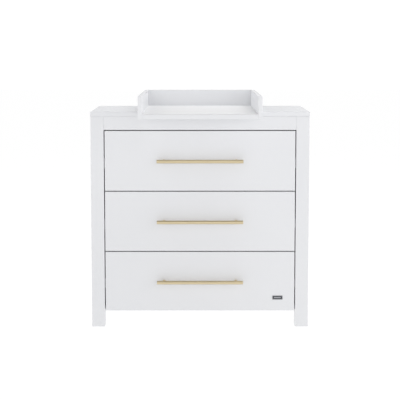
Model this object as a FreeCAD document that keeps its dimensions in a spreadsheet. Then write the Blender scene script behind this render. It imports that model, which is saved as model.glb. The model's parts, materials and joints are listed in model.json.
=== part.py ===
import FreeCAD, Part
import os
import re
import Sketcher

# A changing table: a nursery dresser with three drawers, and a changer that sits on its top and
# reaches out over its front.
# Millimetres. +Z is up, +X is to the right of a person who faces the drawers, and the drawers
# open towards -Y. The origin is on the floor, in the middle of the whole footprint.

# Every size that can be set by itself, once.
SIZES = {
    # carcass
    "top_width": 970,
    "dresser_depth": 540,
    "dresser_height": 965,
    "top_thickness": 20,
    "top_overhang": 1.5,
    "post_width": 58,
    "post_depth": 65,
    "rail_height": 60,
    "rail_thickness": 18,
    "side_thickness": 16,
    "side_inset": 8,
    "back_thickness": 3,
    "back_inset": 7,
    "bottom_thickness": 16,
    "bottom_lift": 2,
    "leg_clear": 75,
    "edge_radius": 0.8,
    # floor glides
    "glide_height": 2,
    "glide_radius": 12,
    "glide_pin_radius": 2.5,
    "glide_pin_length": 14,
    # drawers
    "front_gap": 4,
    "front_thickness": 18,
    "box_thickness": 12,
    "box_depth": 500,
    "box_height": 190,
    "box_lift": 25,
    "groove_lift": 10,
    "groove_depth": 5,
    "drawer_bottom_thickness": 4,
    # runners
    "runner_length": 500,
    "runner_space": 12.7,
    "runner_height": 45,
    "runner_wall": 1.2,
    "runner_flange": 9.6,
    "runner_clear": 0.4,
    "runner_lift": 97,
    "runner_setback": 4,
    "runner_hole_front": 20,
    "runner_hole_rear": 25,
    # handles
    "handle_length": 382,
    "handle_radius": 8,
    "handle_reach": 32,
    "handle_spread": 320,
    "handle_post_radius": 5,
    "handle_seat": 4,
    "handle_edge": 0.8,
    # plate on the lowest drawer front
    "badge_width": 46,
    "badge_height": 18,
    "badge_thickness": 1.5,
    "badge_inset_side": 52,
    "badge_inset_low": 50,
    "badge_rim": 1.2,
    "badge_recess": 0.4,
    # changer
    "changer_width": 528,
    "changer_board": 18,
    "changer_rise": 78,
    "changer_overhang": 228,
    "changer_floor": 3,
    "changer_front_thickness": 19,
    # steel plates behind the changer
    "plate_thickness": 2,
    "plate_width": 32,
    "plate_drop": 16,
    "plate_rise": 40,
    "plate_apart": 360,
    "plate_screw_apart": 18,
    "plate_screw_low": 10,
    "plate_screw_high": 25,
    # holes in the rear rail for the screws that tie the dresser to a wall
    "wall_hole_radius": 3,
    "wall_hole_apart": 600,
    # wood dowels
    "dowel_radius": 4,
    "dowel_length": 35,
    "dowel_in_face": 12,
    "box_dowel_radius": 3,
    "box_dowel_length": 30,
    "box_dowel_in_face": 9,
    "dowel_chamfer": 0.8,
    "rail_dowel_margin": 15,
    "side_dowel_margin": 100,
    "box_dowel_margin": 40,
    "changer_dowel_margin": 20,
    "changer_front_dowel_margin": 40,
    # small countersunk screws
    "screw_radius": 1.75,
    "screw_head_radius": 3.5,
    "screw_head_height": 1.2,
    "screw_length": 12,
    "screw_tip": 3,
    # machine screws of the handles
    "bolt_radius": 2,
    "bolt_head_radius": 4.5,
    "bolt_head_height": 2.6,
    "bolt_in_post": 12,
    # cross recess in both kinds of screw head
    "recess_width": 0.9,
    "recess_length": 4,
    "recess_depth": 0.8,
    # clearances
    "hole_clear": 0.1,
    "hole_end_clear": 0.5,
    "groove_clear": 0.15,
    "changer_clear": 0.5,
    "bolt_clear": 0.25,
}

DRAWERS = ("bottom", "middle", "top")  # in this order from the floor up
SIDES = {"left": -1, "right": 1}

# Places and sizes that follow from the ones above.
DERIVED = {
    "total_depth": "dresser_depth + changer_overhang + plate_thickness",
    "changer_front": "-total_depth / 2",
    "rear_plane": "total_depth / 2 - plate_thickness",
    "top_front": "rear_plane - dresser_depth",
    "front_plane": "top_front + top_overhang",
    "post_top": "dresser_height - top_thickness",
    "post_out": "top_width / 2 - top_overhang",
    "post_in": "post_out - post_width",
    "opening_width": "2 * post_in",
    "side_out": "post_out - side_inset",
    "side_in": "side_out - side_thickness",
    "rail_low": "post_top - rail_height",
    "back_face": "rear_plane - back_inset - back_thickness",
    "rear_rail_front": "back_face - rail_thickness",
    "bottom_low": "leg_clear + bottom_lift",
    "bottom_front": "front_plane + front_thickness + bottom_lift",
    "front_post_back": "front_plane + post_depth",
    "rear_post_front": "rear_plane - post_depth",
    "front_pitch": f"(rail_low - leg_clear) / {len(DRAWERS)}",
    "front_height": "front_pitch - front_gap",
    "front_width": "opening_width - 2 * front_gap",
    "front_back": "front_plane + front_thickness",
    "box_out": "post_in - runner_space",
    "box_in": "box_out - box_thickness",
    "box_rear": "front_back + box_depth",
    "box_floor": "box_lift + groove_lift + drawer_bottom_thickness",
    "runner_front": "front_back + runner_setback",
    "runner_rear": "runner_front + runner_length",
    "middle_inset": "runner_wall + runner_clear",
    "handle_axis": "front_plane - handle_reach",
    "changer_out": "changer_width / 2",
    "changer_in": "changer_out - changer_board",
    "changer_top": "dresser_height + changer_rise",
    "changer_back_face": "rear_plane - changer_board",
    "changer_front_low": "dresser_height - changer_front_thickness",
    "changer_front_back": "top_front - changer_clear",
    "changer_front_depth": "changer_front_back - changer_front",
    "countersink_radius": "screw_head_radius + hole_clear",
}

WORD = re.compile(r"[a-z][a-z_]*")
UP = (0, 0, 1)

doc = FreeCAD.newDocument("changing_table")
corners = {}  # object name: where the object's own origin lies
nodes = []  # the objects that are written out


def fill_sheet():
    """Puts each size in the sheet as a number with an alias."""
    sheet = doc.addObject("Spreadsheet::Sheet", "sizes")
    for row, (alias, value) in enumerate(SIZES.items(), start=1):
        sheet.set(f"A{row}", alias.replace("_", " "))
        sheet.set(f"B{row}", str(value))
        sheet.setAlias(f"B{row}", alias)
    doc.recompute()


def formula(text):
    """Spells out the derived names in a formula, and points each size at the sheet."""
    while any(word in DERIVED for word in WORD.findall(text)):
        text = WORD.sub(lambda m: f"({DERIVED[m[0]]})" if m[0] in DERIVED else m[0], text)
    return WORD.sub(lambda m: f"sizes.{m[0]}" if m[0] in SIZES else m[0], text)


def place(thing, spot, direction=UP):
    """Moves a thing's own origin to a spot and turns its own Z to a direction."""
    turn = FreeCAD.Rotation(FreeCAD.Vector(*UP), FreeCAD.Vector(*direction))
    thing.Placement = FreeCAD.Placement(FreeCAD.Vector(), turn)
    for axis, text in zip("xyz", spot):
        thing.setExpression(f"Placement.Base.{axis}", formula(text))


def body_at(label, corner):
    """Starts an empty body whose own origin is at a corner."""
    body = doc.addObject("PartDesign::Body", label)
    body.Label = label
    corners[body.Name] = corner
    place(body, corner)
    return body


def outline(body, plane, points):
    """Sketches a closed outline on one of the body's origin planes, each corner held by formulas."""
    sketch = body.newObject("Sketcher::SketchObject", f"{body.Name}_outline")
    support = next(f for f in body.Origin.OriginFeatures if f.Role == plane)
    sketch.AttachmentSupport = [(support, "")]
    sketch.MapMode = "FlatFace"
    count = len(points)
    spots = [FreeCAD.Rotation(FreeCAD.Vector(*UP), 360 * k / count).multVec(FreeCAD.Vector(1, 0, 0))
             for k in range(count)]
    for k in range(count):
        sketch.addGeometry(Part.LineSegment(spots[k], spots[(k + 1) % count]))
    for k in range(count):
        sketch.addConstraint(Sketcher.Constraint("Coincident", k, 2, (k + 1) % count, 1))
    for k, spot in enumerate(points):
        for kind, axis, text in (("DistanceX", -2, spot[0]), ("DistanceY", -1, spot[1])):
            if text == "0":
                sketch.addConstraint(Sketcher.Constraint("PointOnObject", k, 1, axis))
                continue
            number = sketch.addConstraint(Sketcher.Constraint(kind, -1, 1, k, 1, 1.0))
            name = f"{kind}_{k}"
            sketch.renameConstraint(number, name)
            sketch.setExpression(f"Constraints.{name}", formula(text))
    return sketch


def pad(body, sketch, length, backwards=False):
    """Pads an outline into a solid."""
    solid = body.newObject("PartDesign::Pad", f"{body.Name}_pad")
    solid.Profile = sketch
    solid.Reversed = backwards
    solid.setExpression("Length", formula(length))
    sketch.Visibility = False
    return solid


def ease(body, solid, radius):
    """Rounds every edge of a solid a little."""
    rounded = body.newObject("PartDesign::Fillet", f"{body.Name}_edges")
    rounded.Base = (solid, [""])
    rounded.UseAllEdges = True
    rounded.setExpression("Radius", formula(radius))
    return rounded


def keep(thing):
    """Marks an object as a sub-part of its own."""
    nodes.append(thing)
    return thing


def panel(label, corner, points, height, edge="edge_radius"):
    """A board of any outline seen from above, lying or standing, with eased edges."""
    body = body_at(label, corner)
    solid = pad(body, outline(body, "XY_Plane", points), height)
    if edge:
        ease(body, solid, edge)
    return body


def board(label, corner, size, edge="edge_radius"):
    """A straight board: its lowest corner and its sizes along X, Y and Z."""
    wide, deep, high = size
    rectangle = [("0", "0"), (wide, "0"), (wide, deep), ("0", deep)]
    return panel(label, corner, rectangle, high, edge)


def inside(body, spot):
    """A spot of the whole table, counted from the body's own origin."""
    return [f"({here}) - ({corner})" for here, corner in zip(spot, corners[body.Name])]


def drill(body, spot, direction, radius, depth):
    """Cuts a round hole that starts at a spot and runs in a direction."""
    hole = body.newObject("PartDesign::SubtractiveCylinder", f"{body.Name}_hole")
    hole.setExpression("Radius", formula(radius))
    hole.setExpression("Height", formula(depth))
    place(hole, inside(body, spot), direction)


def countersink(body, spot, direction, wide, narrow, depth):
    """Cuts the cone under a screw head."""
    cone = body.newObject("PartDesign::SubtractiveCone", f"{body.Name}_countersink")
    cone.setExpression("Radius1", formula(wide))
    cone.setExpression("Radius2", formula(narrow))
    cone.setExpression("Height", formula(depth))
    place(cone, inside(body, spot), direction)


def carve(body, corner, size):
    """Cuts a straight groove or recess, given by its lowest corner and its sizes."""
    box = body.newObject("PartDesign::SubtractiveBox", f"{body.Name}_recess")
    for side, text in zip(("Length", "Width", "Height"), size):
        box.setExpression(side, formula(text))
    place(box, inside(body, corner))


def turned(label, points):
    """A solid turned about its own Z from an outline of radius and height."""
    body = body_at(label, ("0", "0", "0"))
    sketch = outline(body, "XZ_Plane", points)
    solid = body.newObject("PartDesign::Revolution", f"{body.Name}_turned")
    solid.Profile = sketch
    solid.ReferenceAxis = (sketch, ["V_Axis"])
    solid.Angle = 360
    sketch.Visibility = False
    return body


def cross_recess(body, head_top):
    """Cuts a cross into a screw head whose top is at a height and whose shank points along +Z."""
    arms = (("recess_length", "recess_width"), ("recess_width", "recess_length"))
    for wide, deep in arms:
        carve(body, (f"-{wide} / 2", f"-{deep} / 2", head_top), (wide, deep, "recess_depth"))


def group(label, pieces):
    """Joins separate solids into one node."""
    whole = doc.addObject("Part::Compound", label)
    whole.Label = label
    whole.Links = pieces
    return keep(whole)


class Copies:
    """Identical fasteners: one master, and a linked copy at each spot."""

    def __init__(self, master):
        self.master = master
        self.links = []

    def add(self, spot, direction):
        link = doc.addObject("App::Link", f"{self.master.Name}_copy")
        link.LinkedObject = self.master
        place(link, spot, direction)
        self.links.append(link)


def shifted(spot, direction, distance):
    """The spot that lies a distance from another along a direction."""
    return [f"{here} + ({step}) * ({distance})" for here, step in zip(spot, direction)]


def opposite(direction):
    return tuple(-step for step in direction)


def dowel_joint(copies, sizes, face_board, edge_board, spot, direction):
    """Pins two boards at a spot of their joint; the direction leads into the edge-drilled board."""
    radius, length, in_face = sizes
    hole = f"{radius} + hole_clear"
    drill(face_board, spot, opposite(direction), hole, f"{in_face} + hole_end_clear")
    drill(edge_board, spot, direction, hole, f"{length} - {in_face} + hole_end_clear")
    copies.add(shifted(spot, direction, f"-({in_face})"), direction)


def screw_joint(copies, plate, wall, wood, spot, direction):
    """Screws a thin plate to a board; the spot is where the head's top lies."""
    countersink(plate, spot, direction, "countersink_radius", "screw_radius + hole_clear",
                "screw_head_height")
    drill(plate, spot, direction, "screw_radius + hole_clear", wall)
    drill(wood, shifted(spot, direction, wall), direction, "screw_radius + hole_clear",
          f"screw_length - {wall} + hole_end_clear")
    copies.add(spot, direction)


DOWEL = ("dowel_radius", "dowel_length", "dowel_in_face")
BOX_DOWEL = ("box_dowel_radius", "box_dowel_length", "box_dowel_in_face")


def dowel_master(label, radius, length):
    ends = "dowel_chamfer"
    return turned(label, [
        ("0", "0"), (f"{radius} - {ends}", "0"), (radius, ends), (radius, f"{length} - {ends}"),
        (f"{radius} - {ends}", length), ("0", length)])


def screw_master():
    """A countersunk wood screw, its head's top at the origin."""
    body = turned("small_screw", [
        ("0", "0"), ("screw_head_radius", "0"), ("screw_radius", "screw_head_height"),
        ("screw_radius", "screw_length - screw_tip"), ("0", "screw_length")])
    cross_recess(body, "0")
    return body


def bolt_master():
    """A pan-head machine screw, the underside of its head at the origin."""
    length = "front_thickness + bolt_in_post"
    body = turned("handle_bolt", [
        ("0", "-bolt_head_height"), ("bolt_head_radius", "-bolt_head_height"),
        ("bolt_head_radius", "0"), ("bolt_radius", "0"), ("bolt_radius", length), ("0", length)])
    cross_recess(body, "-bolt_head_height")
    return body


def glide_master():
    """A nail-in floor glide, its foot at the origin and its pin pointing up."""
    return turned("floor_glide", [
        ("0", "0"), ("glide_radius - glide_height / 2", "0"), ("glide_radius", "glide_height / 2"),
        ("glide_radius", "glide_height"), ("glide_pin_radius", "glide_height"),
        ("glide_pin_radius", "glide_height + glide_pin_length"),
        ("0", "glide_height + glide_pin_length")])


def channel(label, corner, flange, height, opens):
    """A runner member: a C-shaped channel that runs along Y and opens towards +X or -X."""
    inner = f"{height} - runner_wall"
    shape = [("0", "0"), (flange, "0"), (flange, "runner_wall"), ("runner_wall", "runner_wall"),
             ("runner_wall", inner), (flange, inner), (flange, height), ("0", height)]
    if opens < 0:
        flip = {"0": flange, flange: "0", "runner_wall": f"{flange} - runner_wall"}
        shape = [(flip[across], up) for across, up in shape]
    body = body_at(label, corner)
    pad(body, outline(body, "XZ_Plane", shape), "runner_length", backwards=True)
    return body


def handed(sign, near, far):
    """The lower X of something that reaches from near to far on one side of the middle."""
    return near if sign > 0 else f"-({far})"


def carcass(dowels):
    """Posts, rails, sides, top, bottom and back, pinned together."""
    top = keep(board("top_panel", ("-top_width / 2", "top_front", "post_top"),
                     ("top_width", "dresser_depth", "top_thickness")))
    post_height = "post_top - glide_height"
    rows = {"front": "front_plane", "rear": "rear_post_front"}
    posts = {}
    for side, sign in SIDES.items():
        for row, low in rows.items():
            corner = (handed(sign, "post_in", "post_out"), low, "glide_height")
            post = board(f"post_{row}_{side}", corner, ("post_width", "post_depth", post_height))
            middle = (f"{sign} * (post_in + post_width / 2)", f"{low} + post_depth / 2", "post_top")
            dowel_joint(dowels, DOWEL, top, post, middle, opposite(UP))
            posts[row, side] = keep(post)

    rails = {"front": "front_plane", "rear": "rear_rail_front"}
    for row, low in rails.items():
        rail = board(f"{row}_top_rail", ("-post_in", low, "rail_low"),
                     ("opening_width", "rail_thickness", "rail_height"))
        keep(rail)
        for side, sign in SIDES.items():
            for up in ("rail_low + rail_dowel_margin", "post_top - rail_dowel_margin"):
                spot = (f"{sign} * post_in", f"{low} + rail_thickness / 2", up)
                dowel_joint(dowels, DOWEL, posts[row, side], rail, spot, (-sign, 0, 0))
        if row == "rear":
            rear_rail = rail

    for side, sign in SIDES.items():
        corner = (handed(sign, "side_in", "side_out"), "front_post_back", "leg_clear")
        size = ("side_thickness", "rear_post_front - front_post_back", "post_top - leg_clear")
        cheek = keep(board(f"side_panel_{side}", corner, size))
        joints = (("front", "front_post_back", (0, 1, 0)), ("rear", "rear_post_front", (0, -1, 0)))
        for row, face, direction in joints:
            for up in ("leg_clear + side_dowel_margin", "post_top - side_dowel_margin"):
                spot = (f"{sign} * (side_in + side_thickness / 2)", face, up)
                dowel_joint(dowels, DOWEL, posts[row, side], cheek, spot, direction)

    # The bottom reaches the side panels between the posts, and the back behind them.
    notch = "side_in - post_in"
    far = "2 * side_in"
    front_notch = "front_post_back - bottom_front"
    rear_notch = "rear_post_front - bottom_front"
    deep = "back_face - bottom_front"
    shape = [(notch, "0"), (f"{far} - ({notch})", "0"), (f"{far} - ({notch})", front_notch),
             (far, front_notch), (far, rear_notch), (f"{far} - ({notch})", rear_notch),
             (f"{far} - ({notch})", deep), (notch, deep), (notch, rear_notch), ("0", rear_notch),
             ("0", front_notch), (notch, front_notch)]
    keep(panel("bottom_panel", ("-side_in", "bottom_front", "bottom_low"), shape,
               "bottom_thickness", edge=None))
    back = keep(board("back_panel", ("-post_in", "back_face", "leg_clear"),
                      ("opening_width", "back_thickness", "post_top - leg_clear"), edge=None))

    for sign in SIDES.values():
        hole = (f"{sign} * wall_hole_apart / 2", "rear_rail_front", "rail_low + rail_height / 2")
        drill(rear_rail, hole, (0, 1, 0), "wall_hole_radius", "rail_thickness")
        drill(back, shifted(hole, (0, 1, 0), "rail_thickness"), (0, 1, 0), "wall_hole_radius",
              "back_thickness")
    return posts, top


def floor_glides(posts):
    """One glide under each post."""
    glides = Copies(glide_master())
    for (row, side), post in posts.items():
        low = {"front": "front_plane", "rear": "rear_post_front"}[row]
        spot = (f"{SIDES[side]} * (post_in + post_width / 2)", f"{low} + post_depth / 2", "0")
        glides.add(spot, UP)
        drill(post, shifted(spot, UP, "glide_height"), UP, "glide_pin_radius + hole_clear",
              "glide_pin_length + hole_end_clear")
    group("floor_glides", glides.links)


def changer(top, dowels, screws):
    """The U-shaped tray on the top: its front board hangs in front of the top's front edge."""
    length = "rear_plane - changer_front"
    back = keep(board("changer_back", ("-changer_in", "changer_back_face", "dresser_height"),
                      ("2 * changer_in", "changer_board", "changer_rise")))
    front = keep(board("changer_front_board", ("-changer_in", "changer_front", "changer_front_low"),
                       ("2 * changer_in", "changer_front_depth", "changer_front_thickness")))
    keep(board("changer_floor", ("-changer_in", "changer_front", "dresser_height"),
               ("2 * changer_in", "changer_back_face - changer_front", "changer_floor"), edge=None))

    for side, sign in SIDES.items():
        cheek = body_at(f"changer_side_{side}",
                        (handed(sign, "changer_in", "changer_out"), "changer_front",
                         "changer_front_low"))
        rise = "changer_top - changer_front_low"
        shape = [("0", "0"), ("changer_front_depth", "0"),
                 ("changer_front_depth", "changer_front_thickness"),
                 (length, "changer_front_thickness"), (length, rise), ("0", rise)]
        solid = pad(cheek, outline(cheek, "YZ_Plane", shape), "changer_board")
        ease(cheek, solid, "edge_radius")
        keep(cheek)
        face = f"{sign} * changer_in"
        inward = (-sign, 0, 0)
        middle = "changer_back_face + changer_board / 2"
        for up in ("dresser_height + changer_dowel_margin", "changer_top - changer_dowel_margin"):
            dowel_joint(dowels, DOWEL, cheek, back, (face, middle, up), inward)
        half_way = "dresser_height - changer_front_thickness / 2"
        for along in ("changer_front + changer_front_dowel_margin",
                      "changer_front_back - changer_front_dowel_margin"):
            dowel_joint(dowels, DOWEL, cheek, front, (face, along, half_way), inward)

    plates = []
    for side, sign in SIDES.items():
        middle = f"{sign} * plate_apart / 2"
        plate = board(f"changer_plate_{side}",
                      (f"{middle} - plate_width / 2", "rear_plane", "dresser_height - plate_drop"),
                      ("plate_width", "plate_thickness", "plate_drop + plate_rise"), edge=None)
        plates.append(plate)
        for wood, up in ((top, "-plate_screw_low"), (back, "plate_screw_high")):
            for step in SIDES.values():
                spot = (f"{middle} + {step} * plate_screw_apart / 2",
                        "rear_plane + plate_thickness", f"dresser_height + {up}")
                screw_joint(screws, plate, "plate_thickness", wood, spot, (0, -1, 0))
    group("changer_plates", plates)


def runner_pair(name, low, posts, cheeks, wood_screws, box_screws):
    """The two telescopic runners of a drawer: cabinet, middle and drawer members."""
    members = {"cabinet": [], "middle": [], "drawer": []}
    for side, sign in SIDES.items():
        def spot(depth, size, up):
            across = handed(sign, f"post_in - ({depth}) - ({size})", f"post_in - ({depth})")
            return (across, "runner_front", f"{low} + runner_lift + {up}")

        middle_flange = "runner_space - middle_inset - runner_wall - 2 * runner_clear"
        drawer_flange = "runner_space - 2 * middle_inset"
        cabinet = channel(f"runner_{name}_cabinet_{side}", spot("0", "runner_flange", "0"),
                          "runner_flange", "runner_height", -sign)
        centre = channel(f"runner_{name}_middle_{side}",
                         spot("middle_inset", middle_flange, "middle_inset"),
                         middle_flange, "runner_height - 2 * middle_inset", -sign)
        drawer = channel(f"runner_{name}_drawer_{side}",
                         spot("2 * middle_inset", drawer_flange, "2 * middle_inset"),
                         drawer_flange, "runner_height - 4 * middle_inset", sign)
        height = f"{low} + runner_lift + runner_height / 2"
        along = {"front": "runner_front + runner_hole_front", "rear": "runner_rear - runner_hole_rear"}
        for row, where in along.items():
            head = (f"{sign} * (post_in - runner_wall)", where, height)
            screw_joint(wood_screws, cabinet, "runner_wall", posts[row, side], head, (sign, 0, 0))
            head = (f"{sign} * (box_out + runner_wall)", where, height)
            screw_joint(box_screws, drawer, "runner_wall", cheeks[side], head, (-sign, 0, 0))
        for kind, body in zip(members, (cabinet, centre, drawer)):
            members[kind].append(body)
    for kind, pair in members.items():
        group(f"runner_{name}_{kind}_members", pair)


def drawer_box(name, low, dowels):
    """Front, two sides, back and a bottom that slides in grooves."""
    floor_low = f"{low} + box_lift + groove_lift"
    groove_high = "drawer_bottom_thickness + 2 * groove_clear"
    groove_low = f"{floor_low} - groove_clear"
    front = keep(board(f"drawer_{name}_front", ("-front_width / 2", "front_plane", low),
                       ("front_width", "front_thickness", "front_height")))
    carve(front, ("-(box_in + groove_depth)", "front_back - groove_depth", groove_low),
          ("2 * (box_in + groove_depth)", "groove_depth", groove_high))
    back = keep(board(f"drawer_{name}_back", ("-box_in", "box_rear - box_thickness",
                                              f"{low} + box_floor"),
                      ("2 * box_in", "box_thickness",
                       "box_height - groove_lift - drawer_bottom_thickness")))
    reach = "box_in + groove_depth - hole_end_clear"
    keep(board(f"drawer_{name}_bottom",
               (f"-({reach})", "front_back - groove_depth + hole_end_clear", floor_low),
               (f"2 * ({reach})", "box_depth + groove_depth - hole_end_clear",
                "drawer_bottom_thickness"), edge=None))
    cheeks = {}
    for side, sign in SIDES.items():
        corner = (handed(sign, "box_in", "box_out"), "front_back", f"{low} + box_lift")
        cheek = keep(board(f"drawer_{name}_side_{side}", corner,
                           ("box_thickness", "box_depth", "box_height")))
        carve(cheek, (handed(sign, "box_in", "box_in + groove_depth"), "front_back", groove_low),
              ("groove_depth", "box_depth", groove_high))
        cheeks[side] = cheek
        heights = (f"{low} + box_floor + box_dowel_margin",
                   f"{low} + box_lift + box_height - box_dowel_margin")
        for up in heights:
            spot = (f"{sign} * (box_in + box_thickness / 2)", "front_back", up)
            dowel_joint(dowels, BOX_DOWEL, front, cheek, spot, (0, 1, 0))
            spot = (f"{sign} * box_in", "box_rear - box_thickness / 2", up)
            dowel_joint(dowels, BOX_DOWEL, cheek, back, spot, (-sign, 0, 0))
    return front, cheeks


def handle(name, low, front, bolts):
    """A round bar on two posts, held by a machine screw through the front into each post."""
    middle = f"{low} + front_height / 2"
    bar = body_at(f"handle_{name}_bar", ("-handle_length / 2", "handle_axis", middle))
    rod = bar.newObject("PartDesign::AdditiveCylinder", f"{bar.Name}_rod")
    rod.setExpression("Radius", formula("handle_radius"))
    rod.setExpression("Height", formula("handle_length"))
    place(rod, ("0", "0", "0"), (1, 0, 0))
    ease(bar, rod, "handle_edge")
    keep(bar)
    posts = []
    for side, sign in SIDES.items():
        across = f"{sign} * handle_spread / 2"
        seat = "handle_axis + handle_radius - handle_seat"
        drill(bar, (across, seat, middle), (0, 1, 0), "handle_post_radius + hole_clear", "handle_seat")
        foot = (across, "front_plane", middle)
        post = body_at(f"handle_{name}_post_{side}", foot)
        stem = post.newObject("PartDesign::AdditiveCylinder", f"{post.Name}_stem")
        stem.setExpression("Radius", formula("handle_post_radius"))
        stem.setExpression("Height", formula("handle_reach - handle_radius + handle_seat"))
        place(stem, ("0", "0", "0"), (0, -1, 0))
        drill(post, foot, (0, -1, 0), "bolt_radius + hole_clear", "bolt_in_post + hole_end_clear")
        drill(front, shifted(foot, (0, 1, 0), "front_thickness"), (0, -1, 0),
              "bolt_radius + bolt_clear", "front_thickness")
        bolts.add(shifted(foot, (0, 1, 0), "front_thickness"), (0, -1, 0))
        posts.append(post)
    group(f"handle_{name}_posts", posts)


def badge(low):
    """A blank plate with a thin raised rim."""
    corner = ("front_width / 2 - badge_inset_side - badge_width",
              "front_plane - badge_thickness", f"{low} + badge_inset_low")
    plate = keep(board("badge_plate", corner,
                       ("badge_width", "badge_thickness", "badge_height"), edge=None))
    carve(plate, shifted(corner, (1, 0, 1), "badge_rim"),
          ("badge_width - 2 * badge_rim", "badge_recess", "badge_height - 2 * badge_rim"))


def check_and_write():
    """Stops on any failed object, then writes each sub-part's file."""
    doc.recompute()
    for thing in doc.Objects:
        if {"Invalid", "Error"} & set(thing.State):
            raise RuntimeError(f"{thing.Label} failed: {thing.State}")
    os.makedirs("parts", exist_ok=True)
    for node in nodes:
        if node.Shape.isNull() or not node.Shape.isValid():
            raise RuntimeError(f"{node.Label} has no valid shape")
    for node in nodes:
        node.Shape.exportStep(os.path.join("parts", f"{node.Label}.step"))
    print(f"{len(nodes)} sub-parts, {sum(len(node.Shape.Solids) for node in nodes)} solids")


fill_sheet()
wood_dowels = Copies(dowel_master("wood_dowel", "dowel_radius", "dowel_length"))
small_screws = Copies(screw_master())
box_dowel = dowel_master("box_dowel", "box_dowel_radius", "box_dowel_length")
handle_bolt = bolt_master()

cabinet_posts, cabinet_top = carcass(wood_dowels)
floor_glides(cabinet_posts)
changer(cabinet_top, wood_dowels, small_screws)
for level, drawer in enumerate(DRAWERS):
    base = f"leg_clear + {level} * front_pitch"
    box_dowels, handle_bolts = Copies(box_dowel), Copies(handle_bolt)
    box_screws = Copies(small_screws.master)
    drawer_face, drawer_sides = drawer_box(drawer, base, box_dowels)
    runner_pair(drawer, base, cabinet_posts, drawer_sides, small_screws, box_screws)
    handle(drawer, base, drawer_face, handle_bolts)
    group(f"drawer_{drawer}_dowels", box_dowels.links)
    group(f"drawer_{drawer}_runner_screws", box_screws.links)
    group(f"handle_{drawer}_screws", handle_bolts.links)
    if level == 0:
        badge(base)
group("carcass_dowels", wood_dowels.links)
group("cabinet_screws", small_screws.links)
check_and_write()
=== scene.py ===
import json
import math
from contextlib import contextmanager

import bmesh
import bpy
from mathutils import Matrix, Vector


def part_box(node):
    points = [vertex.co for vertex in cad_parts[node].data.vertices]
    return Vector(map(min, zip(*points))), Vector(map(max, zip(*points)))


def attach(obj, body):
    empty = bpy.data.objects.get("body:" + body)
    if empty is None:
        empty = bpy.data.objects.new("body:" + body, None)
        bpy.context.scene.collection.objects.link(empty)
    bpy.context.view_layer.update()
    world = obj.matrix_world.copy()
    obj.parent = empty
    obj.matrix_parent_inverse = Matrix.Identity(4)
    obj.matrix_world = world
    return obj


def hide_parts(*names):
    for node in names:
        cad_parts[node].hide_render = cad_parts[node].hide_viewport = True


# A nursery dresser in white lacquer with brushed gold handles, and a changer on its top.
# Metres, in the same frame as the parts: +Z is up and the drawers open towards -Y.

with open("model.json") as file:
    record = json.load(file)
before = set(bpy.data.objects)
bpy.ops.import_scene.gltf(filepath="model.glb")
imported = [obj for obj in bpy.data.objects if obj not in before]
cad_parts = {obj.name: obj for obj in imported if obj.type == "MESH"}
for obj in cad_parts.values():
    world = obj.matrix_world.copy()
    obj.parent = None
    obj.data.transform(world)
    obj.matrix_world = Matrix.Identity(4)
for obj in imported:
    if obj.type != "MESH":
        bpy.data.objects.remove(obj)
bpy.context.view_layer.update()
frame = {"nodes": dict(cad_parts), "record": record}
bpy.ops.object.select_all(action="DESELECT")

DRAWERS = ("bottom", "middle", "top")
SIDES = {"left": -1, "right": 1}

EASED = 0.0012          # radius on the edges of the lacquered boards
TOP_EASED = 0.0016      # the top's edges are rounded a little more
ROUNDING_STEPS = 3      # in a board's eased edge
FINE_STEPS = 2          # in the eased edges of the small metal pieces
SHARP = math.radians(30)
ALONG = 0.9             # a unit normal or edge with this much on an axis counts as along it


# ---------------------------------------------------------------- shaders

class Wire:
    """An output socket that can be added to and multiplied."""

    def __init__(self, nodes, socket):
        self.nodes = nodes
        self.socket = socket

    def maths(self, operation, first, second):
        return self.nodes.add("ShaderNodeMath", {"operation": operation}, {0: first, 1: second})

    def __add__(self, other):
        return self.maths("ADD", self, other)

    def __radd__(self, other):
        return self.maths("ADD", other, self)

    def __mul__(self, other):
        return self.maths("MULTIPLY", self, other)

    def __rmul__(self, other):
        return self.maths("MULTIPLY", other, self)


MIX_SHARE, MIX_FIRST, MIX_SECOND = 0, 6, 7      # a Mix node's inputs when it mixes colours
MIX_RESULT = 2                                  # and its output


class Nodes:
    """The nodes of one material or of the sky, and the shader that they feed."""

    def __init__(self, tree, shader):
        self.tree = tree
        self.shader = tree.nodes[shader]

    def feed(self, node, values):
        """Sets or links a node's inputs, named with _ for a space, or numbered."""
        for key, value in values.items():
            socket = node.inputs[key.replace("_", " ") if isinstance(key, str) else key]
            if isinstance(value, Wire):
                self.tree.links.new(value.socket, socket)
            else:
                socket.default_value = value

    def add(self, kind, settings, values, out=0):
        """Any node: its settings first, then the values or links of its sockets."""
        node = self.tree.nodes.new(kind)
        for key, value in settings.items():
            if key == "stops":
                self.set_stops(node.color_ramp, value)
            else:
                setattr(node, key, value)
        self.feed(node, values)
        return Wire(self, node.outputs[out])

    def set_stops(self, ramp, stops):
        while len(ramp.elements) < len(stops):
            ramp.elements.new(0.5)
        for element, (position, grey) in zip(ramp.elements, stops):
            element.position = position
            element.color = (grey, grey, grey, 1)

    def curve(self, value, *stops):
        return self.add("ShaderNodeValToRGB", {"stops": stops}, {"Fac": value})

    def blend(self, share, first, second):
        return self.add("ShaderNodeMix", {"data_type": "RGBA"}, {
            MIX_SHARE: share, MIX_FIRST: first, MIX_SECOND: second}, out=MIX_RESULT)


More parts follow.
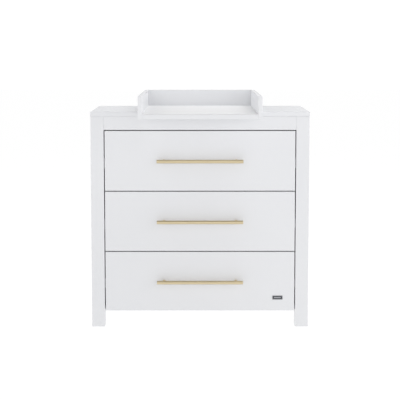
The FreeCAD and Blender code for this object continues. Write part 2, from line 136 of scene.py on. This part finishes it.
class Finish(Nodes):
    """A material in the making."""

    def __init__(self, name, **constants):
        self.material = bpy.data.materials.new(name)
        self.material.use_nodes = True
        super().__init__(self.material.node_tree, "Principled BSDF")
        self.feed(self.shader, constants)

    def place(self, stretch=(1, 1, 1)):
        """Object coordinates, multiplied by a stretch."""
        spot = self.add("ShaderNodeTexCoord", {}, {}, out="Object")
        return self.add("ShaderNodeMapping", {}, {"Vector": spot, "Scale": stretch})

    def noise(self, spot, scale, detail=2.0, roughness=0.5):
        return self.add("ShaderNodeTexNoise", {}, {
            "Vector": spot, "Scale": scale, "Detail": detail, "Roughness": roughness})

    def cells(self, spot, scale):
        """How far each point is from the middle of its cell."""
        return self.add("ShaderNodeTexVoronoi", {}, {"Vector": spot, "Scale": scale}, out="Distance")

    def bump(self, height, depth):
        return self.add("ShaderNodeBump", {}, {"Height": height, "Distance": depth, "Strength": 1.0})

    def wear(self, **values):
        """Feeds the shader with what varies over the surface, and hands the material over."""
        self.feed(self.shader, values)
        return self.material


def colour(red, green, blue):
    return (red, green, blue, 1)


def lacquer():
    """White satin lacquer, sprayed: a fine orange peel, and a drift in tone and gloss."""
    finish = Finish("white_satin_lacquer", Specular_IOR_Level=0.5, Coat_Roughness=0.25)
    spot = finish.place()
    drift = finish.noise(spot, 2.2, detail=3)
    mist = finish.noise(spot, 55, detail=4, roughness=0.6)
    peel = finish.noise(spot, 520, detail=1.5)
    tone = finish.blend(drift, colour(0.745, 0.752, 0.774), colour(0.772, 0.778, 0.796))
    tone = finish.blend(mist * 0.10, tone, colour(0.70, 0.705, 0.72))
    return finish.wear(
        Base_Color=tone, Roughness=0.30 + mist * 0.16, Coat_Weight=0.12 + drift * 0.10,
        Normal=finish.bump(peel + mist * 0.5, 0.00002))


def melamine():
    """White melamine foil on board: a pearl texture and a dry, even sheen."""
    finish = Finish("white_melamine", Specular_IOR_Level=0.45)
    spot = finish.place()
    pearl = finish.cells(spot, 780)
    cloud = finish.noise(spot, 7, detail=3)
    rub = finish.noise(finish.place((1, 14, 1)), 40, detail=3)
    tone = finish.blend(cloud, colour(0.690, 0.692, 0.700), colour(0.725, 0.726, 0.730))
    return finish.wear(
        Base_Color=tone, Roughness=0.42 + rub * 0.14, Normal=finish.bump(pearl, 0.00003))


def hardboard():
    """White painted hardboard: the roller's stipple over a soft, slightly fibrous face."""
    finish = Finish("white_painted_hardboard", Specular_IOR_Level=0.25)
    spot = finish.place()
    stipple = finish.noise(spot, 260, detail=3, roughness=0.65)
    cloud = finish.noise(spot, 4, detail=3)
    fibre = finish.noise(finish.place((1, 5, 1)), 90, detail=4, roughness=0.7)
    tone = finish.blend(cloud, colour(0.725, 0.730, 0.745), colour(0.765, 0.770, 0.780))
    tone = finish.blend(fibre * 0.22, tone, colour(0.58, 0.56, 0.53))
    return finish.wear(
        Base_Color=tone, Roughness=0.58 + stipple * 0.24,
        Normal=finish.bump(stipple + fibre * 0.5, 0.00008))


def brushed_gold():
    """Satin gold: fine brush lines along the bar, over a faint cloudiness of the plating."""
    finish = Finish("brushed_gold", Metallic=1.0)
    lines = finish.noise(finish.place((5, 1500, 1500)), 1.0, detail=3, roughness=0.7)
    long_lines = finish.noise(finish.place((1.5, 420, 420)), 1.0, detail=2)
    cloud = finish.noise(finish.place(), 30, detail=3)
    brush = lines * 0.6 + long_lines * 0.4
    tone = finish.blend(brush, colour(0.61, 0.510, 0.325), colour(0.76, 0.650, 0.440))
    tone = finish.blend(cloud * 0.25, tone, colour(0.66, 0.545, 0.33))
    return finish.wear(
        Base_Color=tone, Roughness=0.22 + brush * 0.18, Normal=finish.bump(brush, 0.00002))


def zinc():
    """Bright zinc plate: faint spangle, rolling lines along the runner, a dull film in places."""
    finish = Finish("bright_zinc", Metallic=1.0)
    spot = finish.place()
    spangle = finish.cells(spot, 160)
    rolled = finish.noise(finish.place((900, 6, 900)), 1.0, detail=2)
    film = finish.noise(spot, 22, detail=4, roughness=0.6)
    tone = finish.blend(film, colour(0.50, 0.51, 0.53), colour(0.70, 0.705, 0.70))
    tone = finish.blend(rolled * 0.45, tone, colour(0.42, 0.43, 0.45))
    tone = finish.blend(spangle * 0.5, tone, colour(0.60, 0.62, 0.66))
    return finish.wear(
        Base_Color=tone, Roughness=0.18 + film * 0.26, Normal=finish.bump(rolled, 0.00002))


def powder_coat():
    """White powder coat on the fixing plates: a coarse orange peel."""
    finish = Finish("white_powder_coat")
    spot = finish.place()
    peel = finish.noise(spot, 420, detail=2)
    drift = finish.noise(spot, 18, detail=2)
    tone = finish.blend(drift, colour(0.76, 0.765, 0.775), colour(0.80, 0.80, 0.805))
    return finish.wear(
        Base_Color=tone, Roughness=0.36 + drift * 0.12, Normal=finish.bump(peel, 0.00005))


def beech():
    """Plain beech of the dowels: long pale grain with short dark flecks."""
    finish = Finish("beech", Specular_IOR_Level=0.3)
    grain = finish.noise(finish.place((1, 1, 0.15)), 420, detail=5, roughness=0.65)
    fleck = finish.curve(finish.noise(finish.place((1, 1, 0.3)), 1500), (0.55, 0.0), (0.72, 1.0))
    tone = finish.blend(grain, colour(0.46, 0.29, 0.16), colour(0.66, 0.46, 0.28))
    tone = finish.blend(fleck * 0.35, tone, colour(0.30, 0.17, 0.09))
    return finish.wear(
        Base_Color=tone, Roughness=0.55 + grain * 0.2, Normal=finish.bump(grain, 0.00005))


def moulded_plastic():
    """Pale grey plastic of the floor glides: a spark-eroded mould texture, scuffed."""
    finish = Finish("glide_plastic")
    spot = finish.place()
    spark = finish.noise(spot, 1400, detail=2)
    scuff = finish.noise(finish.place((1, 8, 1)), 60, detail=4, roughness=0.7)
    tone = finish.blend(scuff, colour(0.62, 0.62, 0.60), colour(0.74, 0.74, 0.72))
    return finish.wear(
        Base_Color=tone, Roughness=0.45 + scuff * 0.25, Normal=finish.bump(spark, 0.00004))


def badge_ground():
    """Dark grey satin ground of the small plate."""
    finish = Finish("badge_ground", Metallic=0.6)
    lines = finish.noise(finish.place((60, 1, 3500)), 1.0, detail=3)
    cloud = finish.noise(finish.place(), 180, detail=2)
    tone = finish.blend(lines, colour(0.060, 0.063, 0.070), colour(0.115, 0.118, 0.128))
    return finish.wear(
        Base_Color=tone, Roughness=0.34 + cloud * 0.18, Normal=finish.bump(lines, 0.00001))


def badge_rim():
    """Brushed pewter of the plate's rim and raised bar."""
    finish = Finish("badge_rim", Metallic=1.0)
    lines = finish.noise(finish.place((60, 1, 3500)), 1.0, detail=3)
    tone = finish.blend(lines, colour(0.34, 0.35, 0.37), colour(0.50, 0.51, 0.53))
    return finish.wear(
        Base_Color=tone, Roughness=0.28 + lines * 0.16, Normal=finish.bump(lines, 0.00001))


LOOKS = {
    "white_lacquer": lacquer(),
    "white_melamine": melamine(),
    "white_hardboard": hardboard(),
    "beech": beech(),
    "satin_gold": brushed_gold(),
    "zinc_steel": zinc(),
    "steel_plate": powder_coat(),
    "glide_plastic": moulded_plastic(),
    "badge_metal": badge_ground(),
}
BADGE_RIM = badge_rim()


# ---------------------------------------------------------------- modelling

@contextmanager
def editing(piece, kind="FACE"):
    """Edit mode on one piece, with nothing selected to start with."""
    bpy.ops.object.select_all(action="DESELECT")
    piece.select_set(True)
    bpy.context.view_layer.objects.active = piece
    bpy.ops.object.mode_set(mode="EDIT")
    bpy.ops.mesh.select_mode(type=kind)
    bpy.ops.mesh.select_all(action="DESELECT")
    yield
    bpy.ops.object.mode_set(mode="OBJECT")


def pick(piece, kind, wanted):
    """Selects the faces or edges that a test wants, and nothing else."""
    bpy.ops.mesh.select_all(action="DESELECT")
    shape = bmesh.from_edit_mesh(piece.data)
    for part in getattr(shape, kind):
        if wanted(part):
            part.select_set(True)
    bmesh.update_edit_mesh(piece.data)


def cut_across_y(y):
    """Cuts all of the piece in edit mode across Y."""
    bpy.ops.mesh.select_all(action="SELECT")
    bpy.ops.mesh.bisect(plane_co=(0, y, 0), plane_no=(0, 1, 0))


def extrude(move):
    """Extrudes what is selected, by a move."""
    bpy.ops.mesh.extrude_region_move(TRANSFORM_OT_translate={"value": move})


def settle(piece, name):
    """Names a new piece and puts its place into its mesh."""
    piece.name = name
    piece.data.name = name
    bpy.ops.object.transform_apply(location=True, rotation=True, scale=True)
    return piece


def block(name, low, high):
    """A block between two corners."""
    low, high = Vector(low), Vector(high)
    bpy.ops.object.select_all(action="DESELECT")
    bpy.ops.mesh.primitive_cube_add(size=1, location=(low + high) / 2)
    piece = bpy.context.object
    piece.scale = high - low
    return settle(piece, name)


def rod(name, centre, radius, length, turn, facets):
    """A round rod about its centre."""
    bpy.ops.object.select_all(action="DESELECT")
    bpy.ops.mesh.primitive_cylinder_add(
        vertices=facets, radius=radius, depth=length, location=centre, rotation=turn)
    return settle(bpy.context.object, name)


def round_sharp_edges(piece, radius, steps=ROUNDING_STEPS):
    """Rounds every sharp edge of a piece."""
    with editing(piece, "EDGE"):
        bpy.ops.mesh.edges_select_sharp(sharpness=SHARP)
        bpy.ops.mesh.bevel(offset=radius, offset_type="OFFSET", segments=steps, profile=0.5,
                           affect="EDGES", clamp_overlap=True)


def join(*pieces):
    """Joins pieces into the first of them."""
    bpy.ops.object.select_all(action="DESELECT")
    for piece in pieces:
        piece.select_set(True)
    bpy.context.view_layer.objects.active = pieces[0]
    bpy.ops.object.join()
    return pieces[0]


def smooth(piece):
    """Smooth shading that leaves the broad faces flat."""
    bpy.ops.object.select_all(action="DESELECT")
    piece.select_set(True)
    bpy.context.view_layer.objects.active = piece
    bpy.ops.object.shade_smooth_by_angle(angle=SHARP)
    bpy.ops.object.modifier_add(type="WEIGHTED_NORMAL")
    bpy.ops.object.modifier_apply(modifier=piece.modifiers[-1].name)


def body_of_node(node):
    return next(body for body, members in frame["record"]["behaviour"]["bodies"].items()
                if node in members)


def slot_of_node(node):
    return next(part["material_slot"] for part in frame["record"]["subparts"]
                if part["node"] == node)


def hand_over(piece, node, *looks):
    """Gives a finished piece its looks, its body and the part that it stands for."""
    smooth(piece)
    slot = slot_of_node(node)
    piece.data.materials.clear()
    for look in looks or (LOOKS[slot],):
        piece.data.materials.append(look)
    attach(piece, body_of_node(node))
    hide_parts(node)


def lacquered_board(node, radius=EASED):
    """A straight board with eased edges, as large as its part."""
    low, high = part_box(node)
    piece = block(f"{node}_eased", low, high)
    round_sharp_edges(piece, radius)
    hand_over(piece, node)


def changer_side(node):
    """A changer side: a long board, with a lug at its front that hangs before the top's edge."""
    low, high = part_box(node)
    top_of_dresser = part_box("top_panel")[1].z
    lug_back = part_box("changer_front_board")[1].y
    piece = block(f"{node}_eased", (low.x, low.y, top_of_dresser), high)
    with editing(piece):
        cut_across_y(lug_back)
        pick(piece, "faces", lambda face: face.normal.z < -ALONG
             and face.calc_center_median().y < lug_back)
        extrude((0, 0, low.z - top_of_dresser))
    round_sharp_edges(piece, EASED)
    hand_over(piece, node)


BAR_FACETS = 96
BAR_CHAMFER = 0.0007
CAP_INSET = 0.0011
CAP_SINK = 0.00025


def handle_bar(level):
    """A round bar with chamfered ends and a cap let into each end."""
    node = f"handle_{level}_bar"
    low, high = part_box(node)
    middle = (low + high) / 2
    length = high.x - low.x
    radius = (high.z - low.z) / 2
    piece = rod(f"{node}_brushed", middle, radius, length, (0, math.pi / 2, 0), BAR_FACETS)
    with editing(piece):
        for sign in SIDES.values():
            pick(piece, "faces", lambda face: face.normal.x * sign > ALONG)
            bpy.ops.mesh.inset(thickness=CAP_INSET)
            extrude((-sign * CAP_SINK, 0, 0))
    past_cap = length / 2 - CAP_SINK / 2
    past_inset = radius - CAP_INSET / 2
    with editing(piece, "EDGE"):
        pick(piece, "edges", lambda edge: all(
            abs(corner.co.x - middle.x) > past_cap and (corner.co - middle).yz.length > past_inset
            for corner in edge.verts))
        bpy.ops.mesh.bevel(offset=BAR_CHAMFER, segments=FINE_STEPS, affect="EDGES")
    hand_over(piece, node)


POST_FACETS = 64
POST_EASED = 0.0004
COLLAR_RADIUS = 0.0068
COLLAR_LENGTH = 0.0022


def handle_posts(level):
    """Two round posts, each with a collar where it meets the drawer front."""
    node = f"handle_{level}_posts"
    low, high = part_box(node)
    middle = (low + high) / 2
    radius = (high.z - low.z) / 2
    collar_front = high.y - COLLAR_LENGTH
    posts = []
    for x in (low.x + radius, high.x - radius):
        post = rod(f"{node}_turned", (x, middle.y, middle.z), radius, high.y - low.y,
                   (math.pi / 2, 0, 0), POST_FACETS)
        with editing(post):
            cut_across_y(collar_front)
            pick(post, "faces", lambda face: abs(face.normal.y) < ALONG
                 and face.calc_center_median().y > collar_front)
            bpy.ops.mesh.extrude_region_shrink_fatten(
                TRANSFORM_OT_shrink_fatten={"value": COLLAR_RADIUS - radius})
        round_sharp_edges(post, POST_EASED, FINE_STEPS)
        posts.append(post)
    hand_over(join(*posts), node)


BADGE_CORNER = 0.002
BADGE_CORNER_STEPS = 5
BADGE_RIM_WIDTH = 0.0012
BADGE_SINK = 0.0005
BADGE_BAR_LENGTH = 0.030
BADGE_BAR_HEIGHT = 0.0036
BADGE_BAR_RISE = 0.0004
BADGE_BAR_ROOT = 0.0002         # how deep the bar sits in the ground of the plate


def badge():
    """A blank plate with round corners, a thin rim and one plain raised bar along its middle."""
    node = "badge_plate"
    low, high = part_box(node)
    middle = (low + high) / 2
    ground = low.y + BADGE_SINK
    piece = block(f"{node}_rimmed", low, high)
    with editing(piece, "EDGE"):
        pick(piece, "edges", lambda edge: abs(
            (edge.verts[0].co - edge.verts[1].co).normalized().y) > ALONG)
        bpy.ops.mesh.bevel(offset=BADGE_CORNER, segments=BADGE_CORNER_STEPS, affect="EDGES")
    with editing(piece):
        pick(piece, "faces", lambda face: face.normal.y < -ALONG)
        bpy.ops.mesh.inset(thickness=BADGE_RIM_WIDTH)
        extrude((0, BADGE_SINK, 0))
    reach = Vector((BADGE_BAR_LENGTH / 2, 0, BADGE_BAR_HEIGHT / 2))
    front = Vector((middle.x, ground - BADGE_BAR_RISE, middle.z))
    root = Vector((middle.x, ground + BADGE_BAR_ROOT, middle.z))
    bar = block("badge_bar", front - reach, root + reach)
    round_sharp_edges(bar, BADGE_BAR_RISE / 2, FINE_STEPS)
    hand_over(join(piece, bar), node, BADGE_RIM, LOOKS["badge_metal"])
    clear_of_bar = ground - BADGE_BAR_RISE / 4
    for face in piece.data.polygons:
        is_ground = face.normal.y < -ALONG and face.center.y > clear_of_bar
        face.material_index = 1 if is_ground else 0


lacquered_board("top_panel", TOP_EASED)
for board in ("front_top_rail", "changer_back", "changer_front_board",
              *(f"post_{row}_{side}" for row in ("front", "rear") for side in SIDES),
              *(f"side_panel_{side}" for side in SIDES),
              *(f"drawer_{level}_front" for level in DRAWERS)):
    lacquered_board(board)
for side in SIDES:
    changer_side(f"changer_side_{side}")
for level in DRAWERS:
    handle_bar(level)
    handle_posts(level)
badge()

for node_name, node_object in frame["nodes"].items():
    node_object.data.materials.clear()
    node_object.data.materials.append(LOOKS[slot_of_node(node_name)])


# ---------------------------------------------------------------- floor, light and camera

FLOOR_REACH = 30.0
FLOOR_GREY = 0.09
FLOOR_GLOW = 0.97


def pale_floor():
    """A plain pale floor, lit softly from within so that shadows on it stay faint."""
    bpy.ops.object.select_all(action="DESELECT")
    bpy.ops.mesh.primitive_plane_add(size=2 * FLOOR_REACH)
    floor = bpy.context.object
    floor.name = "studio_floor"
    finish = Finish("studio_floor", Roughness=0.9, Specular_IOR_Level=0.0,
                    Base_Color=colour(FLOOR_GREY, FLOOR_GREY, FLOOR_GREY),
                    Emission_Color=colour(1, 1, 1), Emission_Strength=FLOOR_GLOW)
    floor.data.materials.append(finish.material)


def soft_box(name, place, size, power, aim):
    """A wide, soft lamp at a place, turned to the spot that it lights."""
    light = bpy.data.lights.new(name, "AREA")
    light.shape = "RECTANGLE"
    light.size, light.size_y = size
    light.energy = power
    lamp = bpy.data.objects.new(name, light)
    bpy.context.scene.collection.objects.link(lamp)
    lamp.location = place
    lamp.rotation_euler = (Vector(aim) - Vector(place)).to_track_quat("-Z", "Y").to_euler()


def studio_sky():
    """A white studio: bright at the horizon all round, and dimmer above it, most of all
    behind the dresser. Each stop is a height and a brightness."""
    world = bpy.data.worlds.new("studio")
    world.use_nodes = True
    bpy.context.scene.world = world
    sky = Nodes(world.node_tree, "Background")
    direction = sky.add("ShaderNodeTexCoord", {}, {}, out="Generated")
    height = sky.add("ShaderNodeSeparateXYZ", {}, {"Vector": direction}, out="Z")
    depth = sky.add("ShaderNodeSeparateXYZ", {}, {"Vector": direction}, out="Y")
    before = sky.curve(height, (0.13, 1.15), (0.22, 0.65), (0.55, 0.62), (0.70, 0.25))
    behind = sky.curve(height, (0.13, 1.15), (0.22, 0.10), (1.00, 0.20))
    turn = sky.add("ShaderNodeMapRange", {"interpolation_type": "SMOOTHSTEP"}, {
        "Value": depth, "From Min": -0.3, "From Max": 0.3})
    sky.feed(sky.shader, {"Color": sky.blend(turn, before, behind)})


DRESSER_MIDDLE = (0, -0.1, 0.6)
DRESSER_TOP = (0, 0, 0.9)

pale_floor()
studio_sky()
soft_box("front", place=(1.2, -7.0, 1.3), size=(5.0, 2.4), power=30, aim=DRESSER_MIDDLE)
soft_box("right", place=(4.4, -2.0, 1.7), size=(3.2, 3.0), power=46, aim=DRESSER_MIDDLE)
soft_box("left", place=(-4.4, -1.6, 2.4), size=(3.2, 3.0), power=8, aim=DRESSER_TOP)
soft_box("overhead", place=(1.5, 0.7, 4.2), size=(5.0, 4.4), power=142, aim=DRESSER_TOP)
soft_box("overhead_left", place=(-2.7, 0.0, 3.1), size=(3.2, 3.2), power=56, aim=DRESSER_TOP)

CAMERA_PLACE = (-0.0122, -5.7134, 1.2621)
CAMERA_PITCH = math.radians(6.151)
CAMERA_YAW = math.radians(-0.1265)
CAMERA_LENS = 113.57
CAMERA_SHIFT = -0.05

camera = bpy.data.objects.new("camera", bpy.data.cameras.new("camera"))
bpy.context.scene.collection.objects.link(camera)
camera.location = CAMERA_PLACE
camera.rotation_euler = (math.pi / 2 - CAMERA_PITCH, 0, CAMERA_YAW)
camera.data.lens = CAMERA_LENS
camera.data.shift_y = CAMERA_SHIFT
bpy.context.scene.camera = camera
bpy.context.scene.view_settings.view_transform = "Standard"
